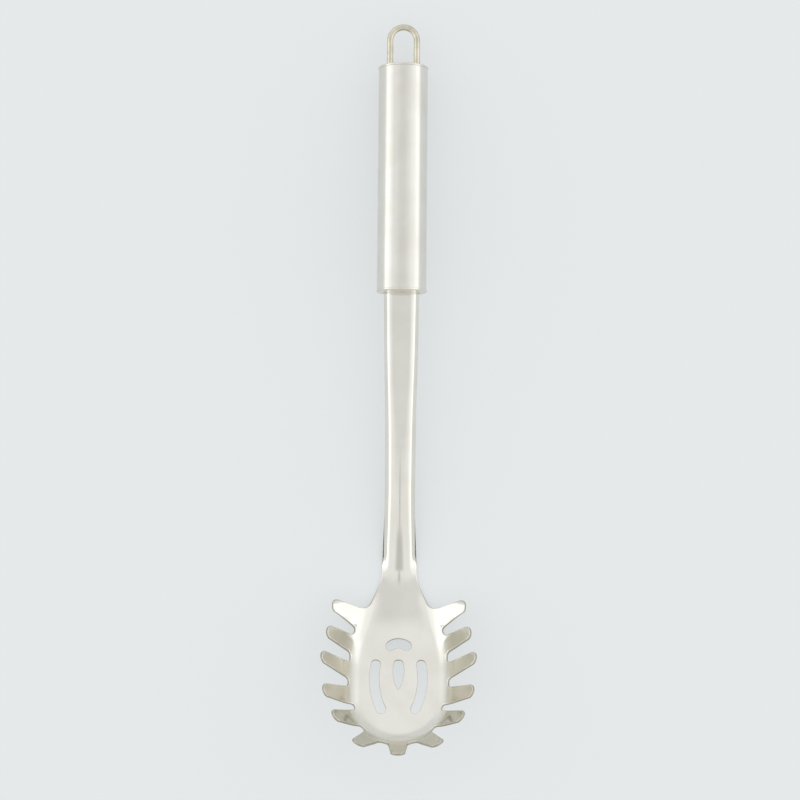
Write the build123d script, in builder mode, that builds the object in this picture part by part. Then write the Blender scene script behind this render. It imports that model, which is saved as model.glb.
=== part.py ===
from build123d import *
import os
from math import cos, degrees, radians, sin

# A pasta server of stainless steel, lying face up on a table, in millimetres.
# +X is to the right, +Y runs towards the hanging loop and +Z is up.
# The origin is on the table, under the middle of the object.

# The pressed sheet that makes the stem, the bowl and the tines
sheet = 1.2
tang_length = 22.0
stem_half = 7.9
stem_flat_share = 0.455
stem_shoulder_share = 0.51
stem_turn = -64.0
bow_radius = 288.5
heel_radius = 43.0
floor_run = 25.5
even_start_share = 0.45
floor_half = 13.5
wall_radius = 12.0
handle_tilt = 4.85
neck_fall = 18.0
bowl_pitch = 34.0
wall_rise = 50.0

# The tines and the gaps between them
tine_reach = 42.5
tine_root_half = 4.2
tine_tip_half = 3.15
gap_root = 22.0
gap_corner = 1.9
gap_corner_share = 0.47
edge_spare = 3.0
tip_round = 3.25
notch_depth = -6.0
notch_round = 4.5
flare_round = 22.0
neck_outline_shares = [(0.909, 0.915), (1.243, 0.90)]

# The drain holes
slot_width = 4.3
bean_width = 4.5
leaf_half = 2.45
leaf_length = 15.0
leaf_place = 21.5
leaf_top_share = 0.72
leaf_top_round = 1.6
leaf_waist_share = 0.45
slot_shares = [(0.755, 0.76), (0.795, 0.39), (0.56, -0.12)]
bean_shares = [(-0.27, 1.12), (0, 1.17), (0.27, 1.12)]

# The handle
tube_length = 100.0
tube_radius = 11.0
tube_wall = 0.8
rim_proud = 0.25
cap_face = 1.0
cap_wall = 0.8
cap_skirt = 6.0
cap_round = 0.5
fit_gap = 0.1

# The hanging loop
wire_radius = 1.4
loop_half = 7.4
loop_reach = 19.7
loop_tail = 4.0

# The beads inside the tube that hold the tang and the loop's legs
tang_bead = 2.0
leg_bead_share = 0.8

# One overrun serves all the cuts
overrun = 10.0


def side(angle):
    """The sine and cosine of an angle in degrees."""
    return sin(radians(angle)), cos(radians(angle))


tilt_sine, tilt_cosine = side(handle_tilt)
fall_sine, fall_cosine = side(neck_fall)
pitch_sine, pitch_cosine = side(bowl_pitch)
rise_sine, rise_cosine = side(wall_rise)

rim_radius = tube_radius + rim_proud
bore_radius = tube_radius - tube_wall
handle_length = tube_length + 2 * cap_face

# The handle lies on its upper rim and the bowl on its heel, which sets the length of the straight neck
face_height = rim_radius * tilt_cosine + handle_length * tilt_sine
bow_drop = bow_radius * (tilt_cosine - fall_cosine)
heel_drop = heel_radius * (1 - fall_cosine)
neck_run = (face_height - sheet - bow_drop - heel_drop) / fall_sine
bow_length = bow_radius * radians(handle_tilt + neck_fall)
heel_length = heel_radius * radians(neck_fall + bowl_pitch)

# Lengths along the sheet's middle line, from the lower cap's face
neck_start = bow_length
heel_start = neck_start + neck_run
floor_start = heel_start + heel_length
bowl_centre = floor_start + floor_run

# The object's reach each way from the lower cap's face
reach_to_bowl = (
    bow_radius * (tilt_sine + fall_sine)
    + neck_run * fall_cosine
    + heel_radius * (fall_sine + pitch_sine)
    + floor_run * pitch_cosine
)
rise_out = floor_half + wall_radius * rise_sine
rise_up = wall_radius * (1 - rise_cosine)
wall_run = tine_reach - floor_half - wall_radius * radians(wall_rise)
tip_out = rise_out + wall_run * rise_cosine + sheet * rise_sine
tip_up = rise_up + wall_run * rise_sine - sheet * rise_cosine
reach_down = reach_to_bowl + tip_out * pitch_cosine - tip_up * pitch_sine
reach_up = (handle_length + loop_reach - wire_radius) * tilt_cosine + wire_radius
cap_place = (reach_down - reach_up) / 2

# The middle line of the sheet's upper face, seen from the side: x is along the table and y is up
with BuildLine() as spine:
    tang_line = Line(
        (cap_place + tang_length * tilt_cosine, face_height - tang_length * tilt_sine),
        (cap_place, face_height),
    )
    bow = JernArc(tang_line @ 1, tang_line % 1, bow_radius, handle_tilt + neck_fall)
    neck = Line(bow @ 1, bow @ 1 + (bow % 1) * neck_run)
    heel = JernArc(neck @ 1, neck % 1, heel_radius, -neck_fall - bowl_pitch)
    floor = Line(heel @ 1, heel @ 1 + (heel % 1) * floor_run)
spine_wire = spine.wire()


def spine_plane(place):
    """The plane across the sheet at a distance from the lower cap's face, its y axis square to the sheet."""
    length = place + tang_length
    point = spine_wire.position_at(length, position_mode=PositionMode.LENGTH)
    heading = spine_wire.tangent_at(length, position_mode=PositionMode.LENGTH)
    return Plane(origin=(0, point.X, point.Y), x_dir=(1, 0, 0), z_dir=(0, heading.X, heading.Y))


def half_profile(flat, radius, turn, wing, spare=0):
    """The corner points of half a section: flat middle, bend and wing, above and below the sheet."""
    bend = radius if turn > 0 else -radius
    turn_sine, turn_cosine = side(turn)
    middle_sine, middle_cosine = side(turn / 2)
    faces = []
    for arm in (bend - spare, bend + sheet + spare):
        bend_end = (flat + arm * turn_sine, bend - arm * turn_cosine)
        wing_end = (bend_end[0] + (wing + spare) * turn_cosine, bend_end[1] + (wing + spare) * turn_sine)
        faces.append([
            (flat, bend - arm),
            (flat + arm * middle_sine, bend - arm * middle_cosine),
            bend_end,
            wing_end,
        ])
    return faces


def sheet_section(place, *shape):
    """The closed section of the sheet at a place along the middle line."""
    upper, lower = half_profile(*shape)

    def left(point):
        return (-point[0], point[1])

    with BuildSketch(spine_plane(place)) as section:
        with BuildLine():
            Line(left(upper[3]), left(upper[2]))
            ThreePointArc(left(upper[2]), left(upper[1]), left(upper[0]))
            Line(left(upper[0]), upper[0])
            ThreePointArc(upper[0], upper[1], upper[2])
            Line(upper[2], upper[3])
            Line(upper[3], lower[3])
            Line(lower[3], lower[2])
            ThreePointArc(lower[2], lower[1], lower[0])
            Line(lower[0], left(lower[0]))
            ThreePointArc(left(lower[0]), left(lower[1]), left(lower[2]))
            Line(left(lower[2]), left(lower[3]))
            Line(left(lower[3]), left(upper[3]))
        make_face()
    return section.sketch


# Sections of the stem: place along the bow, half width, half flat and shoulder radius as shares, and turn in degrees
stem_shares = [
    (0.22, 0.96, 0.41, 0.51, -64),
    (0.43, 0.905, 0.355, 0.51, -62),
    (0.62, 0.89, 0.33, 0.51, -58),
    (0.79, 0.88, 0.32, 0.56, -50),
    (0.90, 0.90, 0.32, 0.70, -38),
]
# Sections of the neck: place as a share of the heel, back from the floor, then half flat, bend radius and the
# sheet's reach as shares, and turn
neck_shares = [
    (1.324, 0.19, 0.72, 0.167, -24),
    (1.118, 0.21, 1.85, 0.227, -10),
    (0.938, 0.27, 6.60, 0.369, 3),
    (0.758, 0.37, 1.85, 0.686, 15),
    (0.553, 0.52, 1.25, 0.881, 30),
    (0.347, 0.70, 1.07, 1.008, 42),
    (0.141, 0.89, 1.00, 1.007, 48),
]
edge_reach = tine_reach + edge_spare
bowl_wing = edge_reach - floor_half - wall_radius * radians(wall_rise)
stem_flat = stem_flat_share * stem_half
stem_shoulder = stem_shoulder_share * stem_half


def stem_wing(half, flat, radius, turn):
    """The length of a flank that brings the folded stem to its half width."""
    turn_sine, turn_cosine = side(-turn)
    return (half - flat - radius * turn_sine) / turn_cosine


mouth = (stem_flat, stem_shoulder, stem_turn, stem_wing(stem_half, stem_flat, stem_shoulder, stem_turn))
stations = [(-tang_length, *mouth), (-tang_length / 2, *mouth), (0, *mouth)]
for place, half, flat, radius, turn in stem_shares:
    flat, radius, half = flat * stem_half, radius * stem_half, half * stem_half
    stations.append((place * neck_start, flat, radius, turn, stem_wing(half, flat, radius, turn)))
for back, flat, radius, reach, turn in neck_shares:
    flat, radius = flat * floor_half, radius * wall_radius
    wing = reach * edge_reach - flat - radius * radians(abs(turn))
    stations.append((floor_start - back * heel_length, flat, radius, turn, wing))
# The bowl's section stays the same from here to its centre, so the last stretch is a plain extrusion
bowl_mouth = (floor_half, wall_radius, wall_rise, bowl_wing)
even_start = floor_start + floor_run * even_start_share
stations += [((floor_start + even_start) / 2, *bowl_mouth), (even_start, *bowl_mouth)]

bowl_plane = spine_plane(bowl_centre)
floor_plane = Plane(origin=bowl_plane.origin, x_dir=(1, 0, 0), z_dir=bowl_plane.y_dir)
bowl_axis = Axis(bowl_plane.origin, bowl_plane.y_dir)
upper, lower = half_profile(floor_half, wall_radius, wall_rise, bowl_wing)
with BuildSketch(bowl_plane) as end_section:
    with BuildLine():
        for points in (upper, lower):
            flat_point, middle_point, bend_point, wing_point = [(-x, y) for x, y in points]
            Line((0, flat_point[1]), flat_point)
            ThreePointArc(flat_point, middle_point, bend_point)
            Line(bend_point, wing_point)
        Line((-upper[3][0], upper[3][1]), (-lower[3][0], lower[3][1]))
        Line((0, 0), (0, -sheet))
    make_face()


def section_at(place):
    """Half flat, bend radius and turn at any place, read between the sections."""
    for (start, *first), (end, *second) in zip(stations, stations[1:]):
        if start <= place <= end:
            share = (place - start) / (end - start)
            return [a + (b - a) * share for a, b in zip(first, second)][:3]
    return [floor_half, wall_radius, wall_rise]


def wall_point(place, angle, reach):
    """A point of the upper face, left of the middle: place along the sheet, or angle round the bowl's end."""
    flat, radius, turn = section_at(place)
    bend = max(0, min(reach - flat, radius * radians(turn)))
    bent_sine, bent_cosine = side(degrees(bend / radius))
    straight = max(0, reach - flat - radius * radians(turn))
    out = min(reach, flat) + radius * bent_sine + straight * bent_cosine
    up = radius * (1 - bent_cosine) + straight * bent_sine
    plane = spine_plane(place)
    around_sine, around_cosine = side(angle)
    return plane.from_local_coords((-out * around_cosine, up, out * around_sine))


def wall_normal(place, angle):
    """The direction square to the upper face of the wall at a place."""
    rise_here, level_here = side(section_at(place)[2])
    around_sine, around_cosine = side(angle)
    plane = spine_plane(place)
    tip = plane.from_local_coords((rise_here * around_cosine, level_here, -rise_here * around_sine))
    return (tip - plane.origin).normalized()


# The tines on the left: root place and angle, tip place and angle, and reach. A place is a share of the heel and
# floor together, back from the bowl's centre, and an angle turns round that centre.
heel_to_bowl = bowl_centre - heel_start
tine_shares = [
    (0.652, 0, 0.746, 0, 0.745),
    (0.429, 0, 0.449, 0, 0.895),
    (0.224, 0, 0.224, 0, 0.970),
    (0.034, 0, 0, 2.8, 0.925),
    (0, 24.7, 0, 24.7, 0.862),
    (0, 57, 0, 57, 0.915),
    (0, 90, 0, 90, 0.901),
]
gap_shares = [0.86, 1.0, 1.02, 0.90, 0.93, 1.0]

tines = []
for root_back, root_angle, tip_back, tip_angle, reach in tine_shares:
    root_place = bowl_centre - root_back * heel_to_bowl
    tip_place = bowl_centre - tip_back * heel_to_bowl
    root = wall_point(root_place, root_angle, gap_root)
    tip = wall_point(tip_place, tip_angle, reach * tine_reach)
    along = (tip - root).normalized()
    normal = wall_normal((root_place + tip_place) / 2, (root_angle + tip_angle) / 2)
    across = along.cross(normal).normalized()
    tines.append((root, tip, along, normal, across))


def tine_edge(tine, far, hand):
    """A point on a tine's edge, at a distance from its root and on the neck's hand (1) or the far one (-1)."""
    root, tip, along, normal, across = tine
    taper = min(1, far / taper_end(tine))
    half = tine_root_half + (tine_tip_half - tine_root_half) * taper
    return root + along * far + across * half * hand


def taper_end(tine):
    """The distance from a tine's root to where its edges stop narrowing."""
    return (tine[1] - tine[0]).length - tine_tip_half


slot_line = ThreePointArc(*[(-x * floor_half, y * floor_run) for x, y in slot_shares])
bean_line = ThreePointArc(*[(x * floor_half, y * floor_run) for x, y in bean_shares])

with BuildPart() as left_cuts:
    for number, share in enumerate(gap_shares):
        near, far = tines[number], tines[number + 1]
        depth = (share - 1) * gap_root
        open_end = tine_reach - gap_root + overrun
        corners = [tine_edge(near, reach, -1) for reach in (depth, taper_end(near), open_end)]
        corners += [tine_edge(far, reach, 1) for reach in (open_end, taper_end(far), depth)]
        normal = (near[3] + far[3]).normalized()
        plane = Plane(origin=(corners[0] + corners[-1]) / 2, x_dir=near[2] + far[2], z_dir=normal)
        flat_corners = [plane.to_local_coords(corner) for corner in corners]
        flat_corners = [(corner.X, corner.Y) for corner in flat_corners]
        with BuildSketch(plane) as gap_sketch:
            with BuildLine():
                Polyline(*flat_corners, close=True)
            make_face()
            root_corners = gap_sketch.vertices().sort_by(Axis.X)[:2]
            root_width = abs(flat_corners[0][1] - flat_corners[-1][1])
            fillet(root_corners, min(gap_corner, gap_corner_share * root_width))
        extrude(amount=overrun, both=True)

    for root, tip, along, normal, across in tines:
        centre = tip - along * tip_round
        with BuildSketch(Plane(origin=centre, x_dir=along, z_dir=normal)) as tip_sketch:
            tip_block = tip_round + gap_corner
            Rectangle(tine_reach, 2 * tip_block, align=(Align.MIN, Align.CENTER))
            Circle(tip_round, mode=Mode.SUBTRACT)
        extrude(amount=overrun, both=True)

    # The notch between the first tine and the neck, with the neck's outline running out into it
    notch_tine = tines[0]
    notch_normal = (notch_tine[3] + Vector(0, 0, 1)).normalized()
    notch_points = [
        tine_edge(notch_tine, tine_reach - gap_root, 1),
        tine_edge(notch_tine, notch_depth, 1),
    ]
    for back, half in neck_outline_shares:
        neck_plane = spine_plane(bowl_centre - back * heel_to_bowl)
        notch_points.append(neck_plane.from_local_coords((-half * stem_half, 0, 0)))
    notch_plane = Plane(origin=notch_points[1], x_dir=notch_tine[2], z_dir=notch_normal)
    notch_flat = [notch_plane.to_local_coords(point) for point in notch_points]
    notch_flat = [(point.X, point.Y) for point in notch_flat]
    notch_flat.append((notch_flat[-1][0] + 3 * overrun, notch_flat[-1][1]))
    notch_flat.append((notch_flat[-1][0], notch_flat[0][1]))
    with BuildSketch(notch_plane) as notch_sketch:
        with BuildLine():
            Polyline(*notch_flat, close=True)
        make_face()
        corner = notch_sketch.vertices().sort_by_distance(notch_flat[1])[0]
        fillet(corner, notch_round)
        corner = notch_sketch.vertices().sort_by_distance(notch_flat[2])[0]
        fillet(corner, flare_round)
    extrude(amount=2 * overrun, both=True)

    # The long drain slot, bowed outwards
    with BuildSketch(floor_plane):
        SlotArc(slot_line, slot_width)
    extrude(amount=overrun, both=True)

with BuildPart() as middle_cuts:
    with BuildSketch(floor_plane):
        SlotArc(bean_line, bean_width)
    extrude(amount=overrun, both=True)
    with BuildSketch(floor_plane) as leaf_sketch:
        with BuildLine():
            right_arc = ThreePointArc(
                (leaf_half * leaf_top_share, leaf_place),
                (leaf_half, leaf_place - leaf_length * leaf_waist_share),
                (0, leaf_place - leaf_length),
            )
            left_arc = mirror(right_arc, about=Plane.YZ)
            Line(right_arc @ 0, left_arc @ 0)
        make_face()
        fillet(leaf_sketch.vertices().group_by(Axis.Y)[-1], leaf_top_round)
    extrude(amount=overrun, both=True)

# The handle's planes: z runs along the tube towards the loop, y is up
handle_heading = Vector(0, tilt_cosine, -tilt_sine)
lower_face = Vector(0, cap_place, face_height)


def handle_plane(place):
    """The plane across the handle at a distance from the lower cap's face."""
    return Plane(origin=lower_face + handle_heading * place, x_dir=(-1, 0, 0), z_dir=handle_heading)


with BuildPart() as bowl_and_stem:
    loft([sheet_section(*station) for station in stations])
    extrude(sheet_section(bowl_centre, *bowl_mouth), amount=even_start - bowl_centre, dir=bowl_plane.z_dir)
    revolve(end_section.sketch, axis=bowl_axis, revolution_arc=180)
    add(left_cuts.part, mode=Mode.SUBTRACT)
    add(mirror(left_cuts.part, about=Plane.YZ, mode=Mode.PRIVATE), mode=Mode.SUBTRACT)
    add(middle_cuts.part, mode=Mode.SUBTRACT)
bowl_and_stem.part.label = "bowl_and_stem"

with BuildPart() as handle_tube:
    with BuildSketch(handle_plane(cap_face)):
        Circle(tube_radius)
        Circle(bore_radius, mode=Mode.SUBTRACT)
    extrude(amount=tube_length)
handle_tube.part.label = "handle_tube"


plug_radius = bore_radius - fit_gap


def end_cap(face_place, inward):
    """A pressed cap: a round face with a soft rim outside the tube, and a skirt inside it."""
    with BuildPart() as cap:
        with BuildSketch(handle_plane(face_place)):
            Circle(rim_radius)
        extrude(amount=cap_face * inward)
        rims = cap.edges().filter_by(GeomType.CIRCLE)
        fillet(rims.sort_by_distance(handle_plane(face_place).origin)[0], cap_round)
        with BuildSketch(handle_plane(face_place + cap_face * inward)):
            Circle(plug_radius)
            Circle(plug_radius - cap_wall, mode=Mode.SUBTRACT)
        extrude(amount=cap_skirt * inward)
    return cap.part


# The stem's section, a fitting gap larger all round, cuts the slot in the lower cap
tang_slot = sheet_section(-cap_face, *mouth, fit_gap)
with BuildPart() as lower_end_cap:
    add(end_cap(0, 1))
    extrude(tang_slot, amount=overrun, both=True, mode=Mode.SUBTRACT)
lower_end_cap.part.label = "lower_end_cap"

upper_face = handle_length
leg_place = loop_half - wire_radius
with BuildPart() as upper_end_cap:
    add(end_cap(upper_face, -1))
    with BuildSketch(handle_plane(upper_face)):
        with Locations((leg_place, 0), (-leg_place, 0)):
            Circle(wire_radius + fit_gap)
    extrude(amount=-cap_face, mode=Mode.SUBTRACT)
upper_end_cap.part.label = "upper_end_cap"

# The loop lies in the plane of the handle's axis: x is across and y runs along the handle
loop_plane = Plane(origin=handle_plane(upper_face).origin, x_dir=(1, 0, 0), z_dir=handle_plane(0).y_dir)
arch_start = loop_reach - loop_half
with BuildPart() as hanging_loop:
    with BuildLine(loop_plane):
        left_leg = Line((-leg_place, -cap_face - loop_tail), (-leg_place, arch_start))
        ThreePointArc((-leg_place, arch_start), (0, arch_start + leg_place), (leg_place, arch_start))
        Line((leg_place, arch_start), (leg_place, -cap_face - loop_tail))
    with BuildSketch(Plane(origin=left_leg @ 0, z_dir=left_leg % 0)):
        Circle(wire_radius)
    sweep()
hanging_loop.part.label = "hanging_loop"

# A ring bead round each leg, on the inner face of the upper cap
leg_bead = leg_bead_share * (plug_radius - cap_wall - loop_half)
with BuildPart() as loop_weld:
    for hand in (-1, 1):
        leg_plane = handle_plane(upper_face - cap_face)
        leg_origin = leg_plane.from_local_coords((hand * leg_place, 0, 0))
        with BuildSketch(Plane(origin=leg_origin, x_dir=(1, 0, 0), z_dir=leg_plane.y_dir)):
            with BuildLine():
                Polyline((wire_radius, 0), (wire_radius + leg_bead, 0), (wire_radius, -leg_bead), close=True)
            make_face()
        revolve(axis=Axis(leg_origin, handle_heading))
loop_weld.part.label = "loop_weld"

# A straight bead above and below the tang's flat, on the inner face of the lower cap
with BuildPart() as stem_weld:
    bead_plane = Plane(origin=lower_face + handle_heading * cap_face, x_dir=handle_heading, z_dir=(1, 0, 0))
    with BuildSketch(bead_plane.offset(-stem_flat)):
        for start, hand in ((0, 1), (-sheet, -1)):
            with BuildLine():
                Polyline((0, start), (tang_bead, start), (0, start + tang_bead * hand), close=True)
            make_face()
    extrude(amount=2 * stem_flat)
    add(bowl_and_stem.part, mode=Mode.SUBTRACT)
stem_weld.part.label = "stem_weld"

os.makedirs("parts", exist_ok=True)
export_step(bowl_and_stem.part, "parts/bowl_and_stem.step")
export_step(handle_tube.part, "parts/handle_tube.step")
export_step(lower_end_cap.part, "parts/lower_end_cap.step")
export_step(upper_end_cap.part, "parts/upper_end_cap.step")
export_step(hanging_loop.part, "parts/hanging_loop.step")
export_step(stem_weld.part, "parts/stem_weld.step")
export_step(loop_weld.part, "parts/loop_weld.step")
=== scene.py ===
import math
import bpy
import bmesh
import numpy as np
from mathutils import Matrix, Vector


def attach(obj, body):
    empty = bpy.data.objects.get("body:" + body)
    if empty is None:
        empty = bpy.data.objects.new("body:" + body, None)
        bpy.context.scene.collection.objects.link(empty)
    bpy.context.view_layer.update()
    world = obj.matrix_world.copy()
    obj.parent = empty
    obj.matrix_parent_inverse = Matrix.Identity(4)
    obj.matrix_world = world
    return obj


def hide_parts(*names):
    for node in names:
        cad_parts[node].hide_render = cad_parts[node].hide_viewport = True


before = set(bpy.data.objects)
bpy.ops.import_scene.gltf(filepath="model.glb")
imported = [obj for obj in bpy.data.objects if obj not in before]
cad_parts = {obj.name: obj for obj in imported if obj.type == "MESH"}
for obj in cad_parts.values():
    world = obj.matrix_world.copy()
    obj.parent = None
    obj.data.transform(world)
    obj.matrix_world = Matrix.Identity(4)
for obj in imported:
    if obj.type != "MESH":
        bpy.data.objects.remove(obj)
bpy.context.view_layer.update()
mm = 0.001
mergeGap = 1e-4  # in millimetres: corners closer than this become one

# The pressed sheet, in millimetres and degrees. Its driving sizes are the part's own
sheet = {
    "thickness": 1.2, "underTrim": 0.03, "tangLength": 22.0, "stemHalf": 7.9,
    "stemFlatShare": 0.455, "stemShoulderShare": 0.51, "stemTurn": -64.0,
    "bowRadius": 288.5, "heelRadius": 43.0, "floorRun": 25.5, "evenStartShare": 0.45,
    "floorHalf": 13.5, "wallRadius": 12.0, "wallRise": 50.0,
    "handleTilt": 4.85, "neckFall": 18.0, "bowlPitch": 34.0,
    "tineReach": 42.5, "tineRootHalf": 4.2, "tineTipHalf": 3.15, "tipRound": 3.25,
    "gapRoot": 22.0, "gapCorner": 1.9, "gapCornerShare": 0.47,
    "notchDepth": -6.0, "notchRound": 4.5, "flareRound": 22.0,
    "neckOutlineShares": [(1.243, 0.90), (0.909, 0.915)],
    "slotWidth": 4.3, "beanWidth": 4.5, "leafHalf": 2.45, "leafLength": 15.0, "leafPlace": 21.5,
    "leafTopShare": 0.72, "leafTopRound": 1.6, "leafWaistShare": 0.45,
    "slotShares": [(0.755, 0.76), (0.795, 0.39), (0.56, -0.12)],
    "beanShares": [(-0.27, 1.12), (0, 1.17), (0.27, 1.12)],
    # The flats are not quite flat: place along the sheet, and lean at the flat's edge
    "crown": [(40, 0.0), (62, -6.0), (112, -8.0), (128, -6.0), (134, -4.0), (138, 0.0),
              (144, 5.0), (152, 4.0), (172, 0.0)],
    "rimRound": 0.34, "rimSteps": 2,
    "fineCell": 0.8, "longCell": 1.6, "spareReach": 3.0,
    # How far the tables are smoothed, in their steps, and how softly and finely the sheet bends across
    "slopeSmooth": 35, "sectionSmooth": 40, "bendSoft": 0.35, "bendSteps": 48,
}

# The tube and its caps
handle = {
    "tubeLength": 100.0, "tubeRadius": 11.0, "tubeWall": 0.8, "rimProud": 0.25,
    "capFace": 1.0, "capWall": 0.8, "capSkirt": 6.0, "capRound": 0.5, "capRoundSteps": 8, "fitGap": 0.1,
    "rimTrim": 0.02, "tubeEdge": 0.12, "capEdge": 0.08, "turns": 160,
    "sharpTurn": 0.6, "edgeSegments": 3,
}

# The hanging loop's wire
loop = {
    "wireRadius": 1.4, "half": 7.4, "reach": 19.695, "tail": 4.0,
    "turns": 40, "archSteps": 64, "legSteps": 12,
}


def sinCos(angle):
    return math.sin(math.radians(angle)), math.cos(math.radians(angle))


# Heights and lengths that follow from the settings, as on the part
tiltSine, tiltCosine = sinCos(sheet["handleTilt"])
fallSine, fallCosine = sinCos(sheet["neckFall"])
pitchSine, pitchCosine = sinCos(sheet["bowlPitch"])
riseSine, riseCosine = sinCos(sheet["wallRise"])
rimRadius = handle["tubeRadius"] + handle["rimProud"]
boreRadius = handle["tubeRadius"] - handle["tubeWall"]
plugRadius = boreRadius - handle["fitGap"]
handleLength = handle["tubeLength"] + 2 * handle["capFace"]
faceHeight = rimRadius * tiltCosine + handleLength * tiltSine
bowDrop = sheet["bowRadius"] * (tiltCosine - fallCosine)
heelDrop = sheet["heelRadius"] * (1 - fallCosine)
neckRun = (faceHeight - sheet["thickness"] - bowDrop - heelDrop) / fallSine
neckStart = sheet["bowRadius"] * math.radians(sheet["handleTilt"] + sheet["neckFall"])
heelStart = neckStart + neckRun
floorStart = heelStart + sheet["heelRadius"] * math.radians(sheet["neckFall"] + sheet["bowlPitch"])
bowlCentre = floorStart + sheet["floorRun"]
heelLength = floorStart - heelStart
heelToBowl = bowlCentre - heelStart
edgeReach = sheet["tineReach"] + sheet["spareReach"]
wallArc = sheet["wallRadius"] * math.radians(sheet["wallRise"])
wallRun = sheet["tineReach"] - sheet["floorHalf"] - wallArc
reachToBowl = (
    sheet["bowRadius"] * (tiltSine + fallSine) + neckRun * fallCosine
    + sheet["heelRadius"] * (fallSine + pitchSine) + sheet["floorRun"] * pitchCosine
)
tipOut = (
    sheet["floorHalf"] + sheet["wallRadius"] * riseSine + wallRun * riseCosine
    + sheet["thickness"] * riseSine
)
tipUp = sheet["wallRadius"] * (1 - riseCosine) + wallRun * riseSine - sheet["thickness"] * riseCosine
reachDown = reachToBowl + tipOut * pitchCosine - tipUp * pitchSine
reachUp = (handleLength + loop["reach"] - loop["wireRadius"]) * tiltCosine + loop["wireRadius"]
capPlace = (reachDown - reachUp) / 2


# A table smoothed over this many of its steps to each side
def smoothed(values, reach):
    kernel = np.hanning(2 * reach + 3)[1:-1]
    padded = np.pad(values, reach, mode="edge")
    return np.convolve(padded, kernel / kernel.sum(), mode="valid")


# The middle line, seen from the side, is read from a fine table of its own slope
tableStep = 0.1
places = np.arange(-sheet["tangLength"], bowlCentre + tableStep, tableStep)
slopes = np.interp(
    places,
    [-sheet["tangLength"], 0, neckStart, heelStart, floorStart, bowlCentre],
    [sheet["handleTilt"], sheet["handleTilt"], -sheet["neckFall"], -sheet["neckFall"],
     sheet["bowlPitch"], sheet["bowlPitch"]],
)
slopes = np.radians(smoothed(slopes, sheet["slopeSmooth"]))
lineY = np.concatenate([[0], np.cumsum(-np.cos((slopes[1:] + slopes[:-1]) / 2) * tableStep)])
lineZ = np.concatenate([[0], np.cumsum(np.sin((slopes[1:] + slopes[:-1]) / 2) * tableStep)])
lineY += capPlace - np.interp(0, places, lineY)
lineZ += faceHeight - np.interp(0, places, lineZ)

stemFlat = sheet["stemFlatShare"] * sheet["stemHalf"]
stemShoulder = sheet["stemShoulderShare"] * sheet["stemHalf"]
# Sections of the stem: place along the bow, then half width, half flat and bend radius as shares, and turn.
# These and the neck's first stay turned down for longer than the part's, after the photo
stemShares = [
    (0.22, 0.96, 0.41, 0.51, -64), (0.43, 0.905, 0.355, 0.51, -62), (0.62, 0.89, 0.33, 0.51, -58),
    (0.79, 0.88, 0.33, 0.51, -56), (0.90, 0.90, 0.36, 0.51, -54), (0.99, 0.90, 0.40, 0.51, -52),
    (1.055, 0.915, 0.41, 0.51, -46), (1.10, 0.93, 0.42, 0.58, -32),
]
# Sections of the neck: place back from the floor, half flat, bend radius and reach as shares, and turn
neckShares = [
    (0.86, 0.29, 1.50, 0.55, -10), (0.77, 0.34, 3.0, 0.60, 8), (0.69, 0.40, 1.40, 0.686, 23),
    (0.60, 0.48, 1.20, 0.80, 32), (0.45, 0.62, 1.12, 0.95, 36), (0.347, 0.70, 1.07, 1.008, 40),
    (0.141, 0.89, 1.00, 1.007, 48),
]


# A section's half flat, the arc of its bend, and the straight wing that is left of its half width
def section(place, half, flat, radius, turn):
    turnSine, turnCosine = sinCos(-turn)
    wing = (half - flat - radius * turnSine) / turnCosine
    return (place, flat, radius * abs(math.radians(turn)), turn, wing)


# The sections read off along the whole sheet
def sectionTable():
    mouth = section(0, sheet["stemHalf"], stemFlat, stemShoulder, sheet["stemTurn"])
    rows = [(-sheet["tangLength"],) + mouth[1:], mouth]
    for place, half, flat, radius, turn in stemShares:
        half, flat, radius = (value * sheet["stemHalf"] for value in (half, flat, radius))
        rows.append(section(place * neckStart, half, flat, radius, turn))
    for back, flat, radius, reach, turn in neckShares:
        flat *= sheet["floorHalf"]
        arc = radius * sheet["wallRadius"] * abs(math.radians(turn))
        rows.append((floorStart - back * heelLength, flat, arc, turn, reach * edgeReach - flat - arc))
    evenStart = floorStart + sheet["floorRun"] * sheet["evenStartShare"]
    bowlRow = (sheet["floorHalf"], wallArc, sheet["wallRise"], wallRun + sheet["spareReach"])
    rows += [((floorStart + evenStart) / 2,) + bowlRow, (evenStart,) + bowlRow, (bowlCentre,) + bowlRow]
    columns = np.array(rows).T
    return [smoothed(np.interp(places, columns[0], column), sheet["sectionSmooth"]) for column in columns[1:]]


flatTable, arcTable, turnTable, wingTable = sectionTable()
# A little crowned along the stem, and hollow from the heel on
crownTable = smoothed(np.interp(places, *zip(*sheet["crown"])), sheet["sectionSmooth"])


# A rise from 0 to 1 with rounded ends
def softRamp(x, soft):
    def area(v):
        return np.where(v < 0, 0, np.where(v > 1, v - 0.5, v * v / 2))
    return (area(x + soft) - area(x - soft)) / (2 * soft)


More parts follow.
